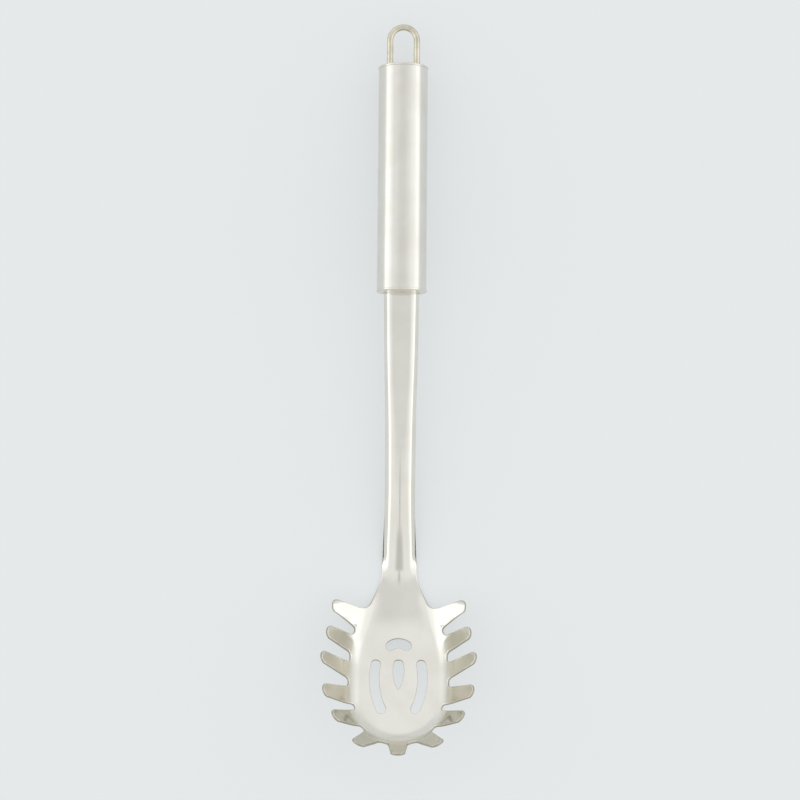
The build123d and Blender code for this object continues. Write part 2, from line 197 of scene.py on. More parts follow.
# Where points of the flat blank lie on the pressed sheet: across, along, and height over its upper face
def pressed(x, y, height):
    side = np.sign(x)
    beyond = np.maximum(y - bowlCentre, 0)
    reach = np.hypot(x, beyond)
    around = np.arctan2(beyond, np.abs(x))
    place = np.minimum(y, bowlCentre)
    flat, arc, turn, crown = (
        np.interp(place, places, table)[:, None] for table in (flatTable, arcTable, turnTable, crownTable)
    )

    def bendAt(far):
        share = softRamp((far - flat) / arc, sheet["bendSoft"])
        return np.radians(turn * share + crown * (1 - share) * np.minimum(far / flat, 1))

    steps = (np.arange(sheet["bendSteps"]) + 0.5) / sheet["bendSteps"]
    bends = bendAt(reach[:, None] * steps)
    out = np.cos(bends).mean(axis=1) * reach
    up = np.sin(bends).mean(axis=1) * reach
    bend = bendAt(reach[:, None])[:, 0]
    out = out - np.sin(bend) * height
    up = up + np.cos(bend) * height
    slope = np.interp(place, places, slopes)
    along = out * np.sin(around)
    baseY = np.interp(place, places, lineY)
    baseZ = np.interp(place, places, lineZ)
    return np.stack([
        side * out * np.cos(around),
        baseY - along * np.cos(slope) + up * np.sin(slope),
        baseZ + along * np.sin(slope) + up * np.cos(slope),
    ], axis=1)


nudge = 0.01  # how far to each side the press is asked which way it runs
# The search back from the pressed sheet: where its grid starts, its rounds, and the longest stride of one
search = {"before": 30.0, "rounds": 12, "stride": 2.0}


# The places on the blank that land on these points of the pressed sheet, seen along a direction
def unpressed(points, normal):
    points = np.array([tuple(point) for point in points])
    normal = np.array(normal[:])
    first = np.cross(normal, (0, 1, 0))
    first /= np.linalg.norm(first)
    second = np.cross(normal, first)
    axes = np.stack([first, second])
    rows = np.arange(neckStart - search["before"], bowlCentre + edgeReach)
    gridX, gridY = np.meshgrid(np.arange(0, edgeReach), rows)
    gridX, gridY = gridX.ravel(), gridY.ravel()
    grid = pressed(gridX, gridY, 0 * gridX)
    nearest = [np.argmin(((grid - point) ** 2).sum(axis=1)) for point in points]
    x, y = gridX[nearest] + nudge, gridY[nearest].astype(float)
    longest = search["stride"]
    for turn in range(search["rounds"]):
        here = pressed(x, y, 0 * x)
        byX = (pressed(x + nudge, y, 0 * x) - here) @ axes.T / nudge
        byY = (pressed(x, y + nudge, 0 * x) - here) @ axes.T / nudge
        miss = (points - here) @ axes.T
        scale = byX[:, 0] * byY[:, 1] - byX[:, 1] * byY[:, 0]
        strideX = (miss[:, 0] * byY[:, 1] - miss[:, 1] * byY[:, 0]) / scale
        strideY = (miss[:, 1] * byX[:, 0] - miss[:, 0] * byX[:, 1]) / scale
        x = np.maximum(x + np.clip(strideX, -longest, longest), 0)
        y = y + np.clip(strideY, -longest, longest)
    return [Vector(pair) for pair in zip(x, y)]


# A point of the upper face: along the sheet, round the bowl's centre, and out from there
def onSheet(place, angle, reach):
    angleSine, angleCosine = sinCos(angle)
    across, along = np.array([reach * angleCosine]), np.array([place + reach * angleSine])
    return Vector(pressed(across, along, 0 * across)[0])


# The middle line's point, and its directions along the sheet and up from it
def lineWays(place):
    slope = float(np.interp(place, places, slopes))
    origin = Vector((0, float(np.interp(place, places, lineY)), float(np.interp(place, places, lineZ))))
    slopeSine, slopeCosine = math.sin(slope), math.cos(slope)
    return origin, Vector((0, -slopeCosine, slopeSine)), Vector((0, slopeSine, slopeCosine))


# The tines: root place and angle, tip place and angle, and reach. All but the first and last are the part's
tineShares = [
    (0.652, 0, 0.746, 0, 0.770), (0.429, 0, 0.449, 0, 0.895), (0.224, 0, 0.224, 0, 0.970),
    (0.034, 0, 0, 2.8, 0.925), (0, 24.7, 0, 24.7, 0.862), (0, 57, 0, 57, 0.915), (0, 90, 0, 90, 0.895),
]
gapShares = [0.86, 1.0, 1.02, 0.90, 0.93, 1.0]  # how far out each gap between two tines begins


# Each tine's root, length, and directions along it, up from it and towards the neck
def tineLines():
    lines = []
    for rootBack, rootAngle, tipBack, tipAngle, reach in tineShares:
        rootPlace, tipPlace = bowlCentre - rootBack * heelToBowl, bowlCentre - tipBack * heelToBowl
        root = onSheet(rootPlace, rootAngle, sheet["gapRoot"])
        tip = onSheet(tipPlace, tipAngle, reach * sheet["tineReach"])
        middle = (rootPlace + tipPlace) / 2
        alongWay, upWay = lineWays(middle)[1:]
        turnSine, turnCosine = sinCos(float(np.interp(middle, places, turnTable)))
        angleSine, angleCosine = sinCos((rootAngle + tipAngle) / 2)
        inward = Vector((-turnSine * angleCosine, 0, 0)) - alongWay * turnSine * angleSine
        normal = inward + upWay * turnCosine
        heading = (tip - root).normalized()
        lines.append((root, (tip - root).length, heading, normal, normal.cross(heading).normalized()))
    return lines


tines = tineLines()


def tineEdge(tine, far, hand):
    root, length, heading, normal, sideways = tine
    taper = min(1.0, far / (length - sheet["tineTipHalf"]))
    half = sheet["tineRootHalf"] + (sheet["tineTipHalf"] - sheet["tineRootHalf"]) * taper
    return root + heading * far + sideways * half * hand


# How finely the outline is drawn: along straights, how far these are shifted out along a tine to clear the
# rounds at its root, and the points of each round
outlineDetail = {
    "step": 0.8, "shift": 0.6, "stem": 44, "neckMargin": 8.0, "flare": 14, "notch": 10,
    "gap": 7, "gapArm": 3.0, "tip": 15, "tipMargin": 0.1, "middleGap": 0.05, "trims": 3,
    "slot": 26, "bean": 12, "slotEnd": 10, "leaf": 16, "leafTop": 8,
}


# The points of a round corner, from one straight to the next
def filleted(before, corner, after, radius, steps):
    inward = (before - corner).normalized()
    outward = (after - corner).normalized()
    opening = inward.angle(outward)
    middle = corner + (inward + outward).normalized() * radius / math.sin(opening / 2)
    start = corner + inward * radius / math.tan(opening / 2) - middle
    end = corner + outward * radius / math.tan(opening / 2) - middle
    sweep = start.angle(end)
    square = (end - start * math.cos(sweep)) / math.sin(sweep)
    return [middle + start * math.cos(sweep * n / steps) + square * math.sin(sweep * n / steps)
            for n in range(steps + 1)]


def stepsAlong(start, end):
    return np.linspace(start, end, max(2, int(abs(end - start) / outlineDetail["step"])))


def tineTip(tine):
    root, length, heading, normal, sideways = tine
    tipRound = sheet["tipRound"]
    sweep = math.asin(sheet["tineTipHalf"] / tipRound)
    sweep -= outlineDetail["tipMargin"]
    points = []
    for angle in np.linspace(sweep, -sweep, outlineDetail["tip"]):
        reach = length - tipRound + tipRound * math.cos(angle)
        points.append(root + heading * reach + sideways * tipRound * math.sin(angle))
    return unpressed(points, normal)


# The developed half width of the stem, from the tang to the neck
def edgeOfStem():
    widths = flatTable + arcTable + wingTable
    end = bowlCentre - sheet["neckOutlineShares"][0][0] * heelToBowl - outlineDetail["neckMargin"]
    return [Vector((np.interp(place, places, widths), place))
            for place in np.linspace(-sheet["tangLength"], end, outlineDetail["stem"])]


def farAlong(tine, point):
    return (point - tine[0]).dot(tine[2])


# The neck's edge, running out round the notch to the first tine
def notchEdge():
    tine = tines[0]
    normal = (tine[3] + Vector((0, 0, 1))).normalized()
    neck = [lineWays(bowlCentre - back * heelToBowl)[0] + Vector((half * sheet["stemHalf"], 0, 0))
            for back, half in sheet["neckOutlineShares"]]
    corners = neck + [tineEdge(tine, far, 1)
                      for far in (sheet["notchDepth"], sheet["tineReach"] - sheet["gapRoot"])]
    corners = [corner - normal * (corner - corners[2]).dot(normal) for corner in corners]
    points = filleted(*corners[:3], sheet["flareRound"], outlineDetail["flare"])
    points += filleted(*corners[1:], sheet["notchRound"], outlineDetail["notch"])
    start = farAlong(tine, points[-1]) + outlineDetail["shift"]
    end = tine[1] - sheet["tipRound"] + outlineDetail["shift"]
    points += [tineEdge(tine, far, 1) for far in stepsAlong(start, end)]
    return unpressed(points, normal)


# From one tine's tip down its edge, round the gap's two corners, and up the next tine's edge
def gapEdge(number):
    near, far = tines[number], tines[number + 1]
    depth = (gapShares[number] - 1) * sheet["gapRoot"]
    arm, steps = depth + outlineDetail["gapArm"], outlineDetail["gap"]
    corners = [tineEdge(near, arm, -1), tineEdge(near, depth, -1),
               tineEdge(far, depth, 1), tineEdge(far, arm, 1)]
    normal = (near[3] + far[3]).normalized()
    middle = (corners[1] + corners[2]) / 2
    corners = [corner - normal * (corner - middle).dot(normal) for corner in corners]
    radius = min(sheet["gapCorner"], sheet["gapCornerShare"] * (corners[1] - corners[2]).length)
    rounds = filleted(*corners[:3], radius, steps) + filleted(*corners[1:], radius, steps)
    tipRound, shift = sheet["tipRound"], outlineDetail["shift"]
    down = [tineEdge(near, place, -1)
            for place in stepsAlong(near[1] - tipRound + shift, farAlong(near, rounds[0]) + shift)]
    up = [tineEdge(far, place, 1)
          for place in stepsAlong(farAlong(far, rounds[-1]) + shift, far[1] - tipRound + shift)]
    return unpressed(down + rounds + up, normal)


# The right half of the blank's outline, from the tang to the middle of the last tine
def outlineHalf():
    points = edgeOfStem() + notchEdge()
    for number in range(len(gapShares)):
        points += tineTip(tines[number]) + gapEdge(number)
    points += [point for point in tineTip(tines[-1]) if point.x > outlineDetail["middleGap"]]
    # Where a straight runs a little past the start of a round corner, its last points go
    for turn in range(outlineDetail["trims"]):
        points = [points[0]] + [here for before, here, after in zip(points, points[1:], points[2:])
                                if (here - before).dot(after - here) > 0] + [points[-1]]
    return points


# A bowed slot: an arc through three points of its middle line, as wide as its width, with round ends
def slotOutline(middle, width, steps):
    first, second, third = (Vector(point) for point in middle)
    ab, bc = second - first, third - second
    denominator = 2 * (ab.x * bc.y - ab.y * bc.x)
    firstSum = second.length_squared - first.length_squared
    secondSum = third.length_squared - second.length_squared
    centre = Vector(((firstSum * bc.y - secondSum * ab.y) / denominator,
                     (secondSum * ab.x - firstSum * bc.x) / denominator))
    radius = (first - centre).length
    start = math.atan2(*(first - centre).yx)
    sweep = (third - centre).angle_signed(first - centre)
    points = []
    for side, angles in ((1, np.linspace(0, 1, steps)), (-1, np.linspace(1, 0, steps))):
        for share in angles:
            angle = start + sweep * share
            arm = radius + side * width / 2
            points.append(centre + Vector((math.cos(angle), math.sin(angle))) * arm)
        end = start + sweep * angles[-1]
        hub = centre + Vector((math.cos(end), math.sin(end))) * radius
        for turn in np.linspace(0, math.pi, outlineDetail["slotEnd"] + 2)[1:-1]:
            # Each round end runs from one side of the band to the other, away from the slot
            bearing = end + (0 if side > 0 else math.pi) + turn * math.copysign(1, sweep)
            points.append(hub + Vector((math.cos(bearing), math.sin(bearing))) * width / 2)
    return points


def onBlank(shares):
    return [(across * sheet["floorHalf"], bowlCentre - along * sheet["floorRun"]) for across, along in shares]


def leafOutline():
    top = sheet["leafPlace"]
    corner = Vector((sheet["leafHalf"] * sheet["leafTopShare"], top))
    waist = Vector((sheet["leafHalf"], top - sheet["leafLength"] * sheet["leafWaistShare"]))
    tip = Vector((0, top - sheet["leafLength"]))
    side = slotOutline([corner, waist, tip], 0, outlineDetail["leaf"])[:outlineDetail["leaf"]]
    rounded = filleted(Vector((0, top)), side[0], side[2], sheet["leafTopRound"], outlineDetail["leafTop"])
    right = rounded + side[2:]
    left = [Vector((-point.x, point.y)) for point in reversed(right[:-1])]
    return [(point.x, bowlCentre - point.y) for point in right + left]


def mirroredPoints(points):
    return [(-point[0], point[1]) for point in reversed(points)]


# How the blank is cut in cells: cuts made at once, how flat a face is, and where the fine cells start
blankCut = {"band": 8, "flat": 0.99, "fineBefore": 12.0}


# The flat blank: a curve with a rounded rim for its outline and holes, cut in cells for the press
def makeBlank():
    half = outlineHalf()
    slot = slotOutline(onBlank(sheet["slotShares"]), sheet["slotWidth"], outlineDetail["slot"])
    bean = slotOutline(onBlank(sheet["beanShares"]), sheet["beanWidth"], outlineDetail["bean"])
    outline = bpy.data.curves.new("blankOutline", "CURVE")
    outline.dimensions = "2D"
    outline.fill_mode = "BOTH"
    outline.extrude = sheet["thickness"] / 2 - sheet["rimRound"]
    outline.bevel_depth = sheet["rimRound"]
    outline.bevel_resolution = sheet["rimSteps"]
    outline.offset = -sheet["rimRound"]
    for points in (half + mirroredPoints(half), slot, mirroredPoints(slot), bean, leafOutline()):
        spline = outline.splines.new("POLY")
        spline.points.add(len(points) - 1)
        for point, place in zip(spline.points, points):
            point.co = (place[0], place[1], 0, 1)
        spline.use_cyclic_u = True
    holder = bpy.data.objects.new("blankOutline", outline)
    mesh = bpy.data.meshes.new_from_object(holder)
    bpy.data.objects.remove(holder)
    bm = bmesh.new()
    bm.from_mesh(mesh)
    bpy.data.meshes.remove(mesh)
    bmesh.ops.remove_doubles(bm, verts=bm.verts, dist=mergeGap)
    # The two flat sides get cells, and lose the long edges that their first fill left
    fillEdge = bm.edges.layers.int.new("fillEdge")
    for edge in bm.edges:
        edge[fillEdge] = int(all(abs(face.normal.z) > blankCut["flat"] for face in edge.link_faces))
    fineStart = neckStart - blankCut["fineBefore"]
    rows = list(np.arange(-sheet["tangLength"] + sheet["longCell"], fineStart, sheet["longCell"]))
    rows += list(np.arange(fineStart, bowlCentre + sheet["tineReach"], sheet["fineCell"]))
    columns = np.arange(sheet["fineCell"] / 2, edgeReach, sheet["fineCell"])
    columns = list(-columns[::-1]) + list(columns)
    # Full bands only, so that none mixes cuts across with cuts along
    while len(columns) % blankCut["band"]:
        columns.append(edgeReach + len(columns))
    cuts = [(Vector((place, 0, 0)), Vector((1, 0, 0))) for place in columns]
    cuts += [(Vector((0, place, 0)), Vector((0, 1, 0))) for place in rows]
    for start in range(0, len(cuts), blankCut["band"]):
        band = cuts[start:start + blankCut["band"]]
        axis = 0 if band[0][1].x else 1
        low = min(place[axis] for place, normal in band)
        high = max(place[axis] for place, normal in band)
        geom = set()
        for face in bm.faces:
            if abs(face.normal.z) > blankCut["flat"]:
                reach = [vert.co[axis] for vert in face.verts]
                if max(reach) > low and min(reach) < high:
                    geom.add(face)
                    geom.update(face.edges)
                    geom.update(face.verts)
        geom = list(geom)
        for place, normal in band:
            geom = bmesh.ops.bisect_plane(bm, geom=geom, dist=mergeGap, plane_co=place,
                                          plane_no=normal)["geom"]
    bmesh.ops.dissolve_edges(bm, edges=[edge for edge in bm.edges if edge[fillEdge]], use_verts=True)
    bm.normal_update()
    return bm


# The blank's normals, carried along with the sheet as it bends
def pressedNormals(x, y, height, flatNormals):
    acrossWay = pressed(x + nudge, y, height) - pressed(x - nudge, y, height)
    alongWay = pressed(x, y + nudge, height) - pressed(x, y - nudge, height)
    acrossWay /= np.linalg.norm(acrossWay, axis=1)[:, None]
    alongWay /= np.linalg.norm(alongWay, axis=1)[:, None]
    upWay = np.cross(alongWay, acrossWay)
    normals = flatNormals[:, :1] * acrossWay + flatNormals[:, 1:2] * alongWay + flatNormals[:, 2:] * upWay
    return normals / np.linalg.norm(normals, axis=1)[:, None]


# A piece of the visual model, what it rides on, and the nodes that it stands for
def newPiece(name, bm, slot, *nodes):
    mesh = bpy.data.meshes.new(name)
    bm.to_mesh(mesh)
    bm.free()
    mesh.shade_smooth()
    piece = bpy.data.objects.new(name, mesh)
    bpy.context.scene.collection.objects.link(piece)
    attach(piece, "root")
    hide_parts(*nodes)
    return piece


# Where the sheet's finish changes, in millimetres: the bowl's satin inside, and the tines past their roots,
# which get a painted shade
sheetMasks = {"bowlLong": 14.0, "bowlMargin": 1.0, "bowlFade": 5.0, "tineFade": 4.0, "tinesFrom": 24.0}


def makeSheet():
    bm = makeBlank()
    flatPlaces = np.array([vert.co[:] for vert in bm.verts])
    flatNormals = np.array([vert.normal[:] for vert in bm.verts])
    x, y, height = flatPlaces[:, 0], flatPlaces[:, 1], flatPlaces[:, 2] - sheet["thickness"] / 2
    height = height * (1 - sheet["underTrim"] / sheet["thickness"])
    formed = pressed(x, y, height) * mm
    normals = pressedNormals(x, y, height, flatNormals)
    # The cut edge's mask gives it a duller finish and also a dark painted shade line
    rimDepth = sheet["thickness"] / 2 - np.abs(flatPlaces[:, 2])
    cutEdge = np.clip(rimDepth / sheet["rimRound"], 0, 1) ** 2
    beyond = np.maximum(y - bowlCentre, 0)
    before = np.minimum(y - bowlCentre + sheetMasks["bowlLong"], 0)
    past = np.hypot(x, before + beyond) - sheet["gapRoot"] + sheetMasks["bowlMargin"]
    inBowl = 1 - np.clip(past / sheetMasks["bowlFade"], 0, 1)
    # Painted shade: the tines past their roots are darkened, as their reflections of the shaded floor near
    # the object are
    tineShadeMask = np.clip((np.hypot(x, beyond) - sheet["gapRoot"]) / sheetMasks["tineFade"], 0, 1)
    tineShadeMask *= y > heelStart + sheetMasks["tinesFrom"]
    for vert, place in zip(bm.verts, formed):
        vert.co = place
    # The blank's y runs down the sheet, so its faces come out inside out
    bmesh.ops.reverse_faces(bm, faces=bm.faces)
    piece = newPiece("pressedSheet", bm, "pressed_sheet", "bowl_and_stem")
    piece.data.normals_split_custom_set_from_vertices([tuple(normal) for normal in normals])
    for name, values in (("cutEdge", cutEdge), ("inBowl", inBowl), ("tineShadeMask", tineShadeMask)):
        piece.data.attributes.new(name, "FLOAT", "POINT").data.foreach_set("value", values.astype(np.float32))
    return piece


# The handle's frame: x across, y up from its axis, z from the lower cap's face towards the hanging end
lowerFace = Vector((0, capPlace, faceHeight))
handleHeading = Vector((0, tiltCosine, -tiltSine))
handleUp = Vector((0, tiltSine, tiltCosine))
handleFrame = Matrix((
    (-mm, 0, 0, 0),
    (0, handleUp.y * mm, handleHeading.y * mm, lowerFace.y * mm),
    (0, handleUp.z * mm, handleHeading.z * mm, lowerFace.z * mm),
    (0, 0, 0, 1),
))


# A round piece, spun about the handle's axis from its profile of radius and place
def turned(profile, edgeRound, closed=True):
    bm = bmesh.new()
    verts = [bm.verts.new((0, radius, place)) for radius, place in profile]
    edges = [bm.edges.new(pair) for pair in zip(verts, verts[1:])]
    if closed:
        edges.append(bm.edges.new((verts[-1], verts[0])))
    bmesh.ops.spin(bm, geom=verts + edges, cent=(0, 0, 0), axis=(0, 0, 1), angle=2 * math.pi,
                   steps=handle["turns"], use_merge=True)
    bmesh.ops.remove_doubles(bm, verts=bm.verts, dist=mergeGap)
    bmesh.ops.recalc_face_normals(bm, faces=bm.faces)
    corners = [edge for edge in bm.edges
               if edge.is_manifold and edge.calc_face_angle(0) > handle["sharpTurn"]]
    bmesh.ops.bevel(bm, geom=corners, affect="EDGES", offset=edgeRound, segments=handle["edgeSegments"],
                    profile=0.5, material=-1)
    return bm


# Faces stay flat up to their rounded edges, also where a cutter leaves a hole
def weighted(piece, cutter=None):
    if cutter is not None:
        cut = piece.modifiers.new("cut", "BOOLEAN")
        cut.operation = "DIFFERENCE"
        cut.object = cutter
        cut.solver = "EXACT"
    shading = piece.modifiers.new("shading", "WEIGHTED_NORMAL")
    shading.keep_sharp = False
    depsgraph = bpy.context.evaluated_depsgraph_get()
    finished = bpy.data.meshes.new_from_object(piece.evaluated_get(depsgraph))
    piece.modifiers.clear()
    piece.data = finished
    if cutter is not None:
        bpy.data.objects.remove(cutter)


def makeTube():
    start, end = handle["capFace"], handle["capFace"] + handle["tubeLength"]
    radius = handle["tubeRadius"]
    bm = turned([(boreRadius, start), (radius, start), (radius, end), (boreRadius, end)], handle["tubeEdge"])
    bmesh.ops.transform(bm, matrix=handleFrame, verts=bm.verts)
    piece = newPiece("handleTube", bm, "brushed_tube", "handle_tube")
    weighted(piece)
    return piece


# The cap's section: a face with a soft rim, and its skirt inside the tube
def capProfile(face, inward):
    edge, rim = handle["capRound"], rimRadius - handle["rimTrim"]
    soft = [(rim - edge + edge * math.sin(turn), edge - edge * math.cos(turn))
            for turn in np.linspace(0, math.pi / 2, handle["capRoundSteps"])]
    under = handle["capFace"]
    deep = under + handle["capSkirt"]
    inner = plugRadius - handle["capWall"]
    skirt = [(rim, under), (plugRadius, under), (plugRadius, deep), (inner, deep), (inner, under), (0, under)]
    outline = [(0, 0)] + soft + skirt
    return [(radius, face + inward * place) for radius, place in outline]


def makeCap(name, node, face, inward, cutter):
    bm = turned(capProfile(face, inward), handle["capEdge"], closed=False)
    bmesh.ops.transform(bm, matrix=handleFrame, verts=bm.verts)
    piece = newPiece(name, bm, "cap_metal", node)
    weighted(piece, cutter)
    return piece


# The cutters that open the caps: the tang's reach inside and outside the face and its slices, and the legs'
# sides and depth
cutters = {"tangIn": 9.0, "tangOut": 3.0, "tangSlices": 61, "legSides": 48, "legDeep": 6.0}


def makeCutter(name, bm):
    mesh = bpy.data.meshes.new(name)
    bmesh.ops.recalc_face_normals(bm, faces=bm.faces)
    bm.to_mesh(mesh)
    bm.free()
    cutter = bpy.data.objects.new(name, mesh)
    bpy.context.scene.collection.objects.link(cutter)
    return cutter


# The stem's section, a fitting gap larger all round, and longer than the lower cap
def tangCutter():
    gap = handle["fitGap"]
    half = float(np.interp(0, places, flatTable + arcTable + wingTable)) + gap
    bm = bmesh.new()
    bmesh.ops.create_cube(bm, size=1)
    ends = -cutters["tangIn"], cutters["tangOut"]
    for axis, low, high in ((0, -half, half), (1, *ends), (2, -sheet["thickness"] - gap, gap)):
        for vert in bm.verts:
            vert.co[axis] = low if vert.co[axis] < 0 else high
    for place in np.linspace(-half, half, cutters["tangSlices"])[1:-1]:
        bmesh.ops.bisect_plane(bm, geom=bm.verts[:] + bm.edges[:] + bm.faces[:], plane_co=(place, 0, 0),
                               plane_no=(1, 0, 0))
    corners = np.array([vert.co[:] for vert in bm.verts])
    for vert, place in zip(bm.verts, pressed(corners[:, 0], corners[:, 1], corners[:, 2]) * mm):
        vert.co = place
    return makeCutter("tangCutter", bm)


def legCutter():
    bm = bmesh.new()
    for hand in (-1, 1):
        drill = Matrix.Translation((hand * (loop["half"] - loop["wireRadius"]), 0, handleLength))
        radius = loop["wireRadius"] + handle["fitGap"]
        bmesh.ops.create_cone(bm, cap_ends=True, segments=cutters["legSides"], radius1=radius, radius2=radius,
                              depth=cutters["legDeep"], matrix=handleFrame @ drill)
    return makeCutter("legCutter", bm)


# Round wire: up one leg, round the arch and down the other, all from one circle
def makeLoop():
    bm = bmesh.new()
    leg = loop["half"] - loop["wireRadius"]
    start = handleLength - handle["capFace"] - loop["tail"]
    archStart = handleLength + loop["reach"] - loop["half"]
    ring = bmesh.ops.create_circle(bm, segments=loop["turns"], radius=loop["wireRadius"],
                                   matrix=Matrix.Translation((leg, 0, start)))["verts"]
    edges = list({edge for vert in ring for edge in vert.link_edges})
    firstRing = edges

    def runOn(edges, away):
        for step in range(loop["legSteps"]):
            made = bmesh.ops.extrude_edge_only(bm, edges=edges)["geom"]
            moved = [item for item in made if isinstance(item, bmesh.types.BMVert)]
            edges = [item for item in made if isinstance(item, bmesh.types.BMEdge)
                     and all(vert in moved for vert in item.verts)]
            bmesh.ops.translate(bm, verts=moved, vec=(0, 0, away / loop["legSteps"]))
        return edges

    edges = runOn(edges, archStart - start)
    verts = list({vert for edge in edges for vert in edge.verts})
    arch = bmesh.ops.spin(bm, geom=verts + edges, cent=(0, 0, archStart), axis=(0, -1, 0), angle=math.pi,
                          steps=loop["archSteps"], use_merge=False)["geom_last"]
    edges = [item for item in arch if isinstance(item, bmesh.types.BMEdge)]
    lastRing = runOn(edges, start - archStart)
    bmesh.ops.contextual_create(bm, geom=firstRing)
    bmesh.ops.contextual_create(bm, geom=lastRing)
    bmesh.ops.recalc_face_normals(bm, faces=bm.faces)
    bmesh.ops.transform(bm, matrix=handleFrame, verts=bm.verts)
    return newPiece("hangingLoop", bm, "loop_wire", "hanging_loop")


pressedSheet = makeSheet()
print("sheet pressed:", len(pressedSheet.data.polygons), "faces")
handleTube = makeTube()
lowerCap = makeCap("lowerCap", "lower_end_cap", 0, 1, tangCutter())
upperCap = makeCap("upperCap", "upper_end_cap", handleLength, -1, legCutter())
hangingLoop = makeLoop()
print("handle, caps and loop made")


# Finishes. Each has a dictionary with its light and dark patches, their size, how dull they are, and its
# grain. Colours are linear
def newGroup(name, inputs, outputs):
    group = bpy.data.node_groups.new(name, "ShaderNodeTree")
    for inOut, sockets in (("INPUT", inputs), ("OUTPUT", outputs)):
        for label, kind in sockets:
            group.interface.new_socket(name=label, in_out=inOut, socket_type="NodeSocket" + kind)
    return group, group.nodes.new("NodeGroupInput"), group.nodes.new("NodeGroupOutput")


# The patches: how fine their noise is, and from where to where light turns to dark
patchNoise = {"detail": 4, "roughness": 0.55, "from": 0.35, "to": 0.70}


# Metal that has been wiped and handled: soft patches, a little darker and a little duller
def makeCloudyMetal():
    group, given, result = newGroup(
        "cloudyMetal",
        [("Light", "Color"), ("Dark", "Color"), ("Cloud Scale", "Float"), ("Smooth", "Float"),
         ("Dull", "Float")],
        [("Colour", "Color"), ("Roughness", "Float")],
    )
    nodes, links = group.nodes, group.links
    place = nodes.new("ShaderNodeTexCoord")
    cloud = nodes.new("ShaderNodeTexNoise")
    cloud.inputs["Detail"].default_value = patchNoise["detail"]
    cloud.inputs["Roughness"].default_value = patchNoise["roughness"]
    soft = nodes.new("ShaderNodeMapRange")
    soft.interpolation_type = "SMOOTHSTEP"
    soft.inputs["From Min"].default_value = patchNoise["from"]
    soft.inputs["From Max"].default_value = patchNoise["to"]
    links.new(place.outputs["Object"], cloud.inputs["Vector"])
    links.new(given.outputs["Cloud Scale"], cloud.inputs["Scale"])
    links.new(cloud.outputs["Fac"], soft.inputs["Value"])
    tone = nodes.new("ShaderNodeMix")
    tone.data_type = "RGBA"
    links.new(soft.outputs["Result"], tone.inputs["Factor"])
    links.new(given.outputs["Light"], tone.inputs["A"])
    links.new(given.outputs["Dark"], tone.inputs["B"])
    links.new(tone.outputs["Result"], result.inputs["Colour"])
    dull = nodes.new("ShaderNodeMapRange")
    links.new(soft.outputs["Result"], dull.inputs["Value"])
    links.new(given.outputs["Smooth"], dull.inputs["To Min"])
    links.new(given.outputs["Dull"], dull.inputs["To Max"])
    links.new(dull.outputs["Result"], result.inputs["Roughness"])
    return group


grainDetail = 3
grainReach = 0.02 * mm  # how deep the grain's bump is taken to be


# Fine tooling marks, as long or as short as their scale each way makes them
def makeMetalGrain():
    group, given, result = newGroup(
        "metalGrain",
        [("Fine", "Vector"), ("Depth", "Float"), ("Roughness", "Float")],
        [("Height", "Float"), ("Roughness", "Float")],
    )
    nodes, links = group.nodes, group.links
    place = nodes.new("ShaderNodeTexCoord")
    spread = nodes.new("ShaderNodeVectorMath")
    spread.operation = "MULTIPLY"
    links.new(place.outputs["Object"], spread.inputs[0])
    links.new(given.outputs["Fine"], spread.inputs[1])
    marks = nodes.new("ShaderNodeTexNoise")
    marks.inputs["Scale"].default_value = 1
    marks.inputs["Detail"].default_value = grainDetail
    links.new(spread.outputs[0], marks.inputs["Vector"])
    links.new(marks.outputs["Fac"], result.inputs["Height"])
    centred = nodes.new("ShaderNodeMath")
    centred.operation = "SUBTRACT"
    centred.inputs[1].default_value = 0.5  # the noise's own middle
    links.new(marks.outputs["Fac"], centred.inputs[0])
    rough = nodes.new("ShaderNodeMath")
    rough.operation = "MULTIPLY_ADD"
    links.new(centred.outputs[0], rough.inputs[0])
    links.new(given.outputs["Depth"], rough.inputs[1])
    links.new(given.outputs["Roughness"], rough.inputs[2])
    links.new(rough.outputs[0], result.inputs["Roughness"])
    return group


cloudyMetal, metalGrain = makeCloudyMetal(), makeMetalGrain()


# One metal from its finish: its patches, its grain, and both on the shader
def makeMetal(name, finish):
    material = bpy.data.materials.new(name)
    material.use_nodes = True
    tree = material.node_tree
    shader = tree.nodes["Principled BSDF"]
    shader.inputs["Metallic"].default_value = 1
    patches = tree.nodes.new("ShaderNodeGroup")
    patches.node_tree = cloudyMetal
    patches.inputs["Light"].default_value = (*finish["light"], 1)
    patches.inputs["Dark"].default_value = (*finish["dark"], 1)
    patches.inputs["Cloud Scale"].default_value = finish["cloudScale"]
    patches.inputs["Smooth"].default_value = finish["smooth"]
    patches.inputs["Dull"].default_value = finish["dull"]
    grain = tree.nodes.new("ShaderNodeGroup")
    grain.node_tree = metalGrain
    grain.inputs["Fine"].default_value = finish["grainFine"]
    grain.inputs["Depth"].default_value = finish["grainDepth"]
    bump = tree.nodes.new("ShaderNodeBump")
    bump.inputs["Strength"].default_value = finish["grainBump"]
    bump.inputs["Distance"].default_value = grainReach
    tree.links.new(patches.outputs["Colour"], shader.inputs["Base Color"])
    tree.links.new(patches.outputs["Roughness"], grain.inputs["Roughness"])
    tree.links.new(grain.outputs["Roughness"], shader.inputs["Roughness"])
    tree.links.new(grain.outputs["Height"], bump.inputs["Height"])
    tree.links.new(bump.outputs["Normal"], shader.inputs["Normal"])
    return material, tree, shader, patches, grain


def dress(piece, material):
    piece.data.materials.clear()
    piece.data.materials.append(material)


# The tine colour is a painted shade that darkens the tines past their roots
sheetFinish = {
    "light": (0.81, 0.80, 0.745), "dark": (0.77, 0.755, 0.69),
    # The edge colour is a painted shade line along every cut edge
    "edge": (0.36, 0.34, 0.27), "tine": (0.87, 0.85, 0.80),
    "cloudScale": 55, "smooth": 0.06, "dull": 0.11, "bowlDull": 0.15, "edgeDull": 0.30,
    "grainFine": (900, 900, 900), "grainDepth": 0.02, "grainBump": 0.05,
}
